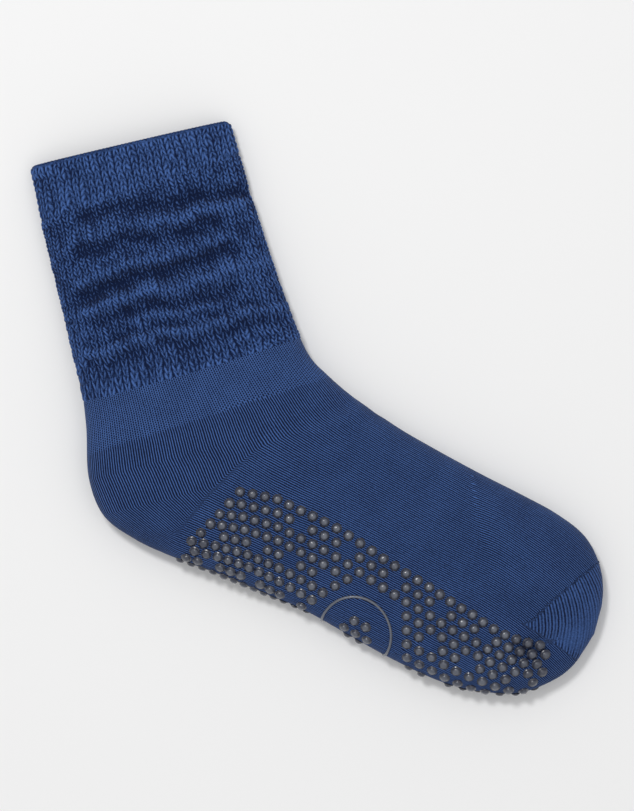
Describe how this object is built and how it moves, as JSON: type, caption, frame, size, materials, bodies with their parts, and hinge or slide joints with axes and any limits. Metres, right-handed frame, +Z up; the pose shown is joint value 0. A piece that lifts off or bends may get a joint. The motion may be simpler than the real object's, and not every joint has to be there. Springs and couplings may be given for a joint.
{
  "type": "slipper sock",
  "caption": "Crew-height knitted slipper sock, empty and lying flat on its side, with a turned collar, a slouched leg and a raised silicone grip print round the sole.",
  "frame": {"origin": "on the floor under the middle of the laid sock's bounding box", "axes": "+X from heel to toe, +Y from the sole fold to the instep fold and up the leg, +Z up through the thickness of the laid sock"},
  "size_m": [0.3002, 0.1788, 0.0248],
  "materials": {
    "knit": "blue cotton-blend weft knit, coarse at the collar and leg, fine at the foot",
    "grip": "grey translucent silicone, screen printed and cured, softly glossy"
  },
  "bodies": {
    "root": {"sock_knit": "knit", "dot_print": "grip", "ring_print": "grip"}
  },
  "joints": []
}
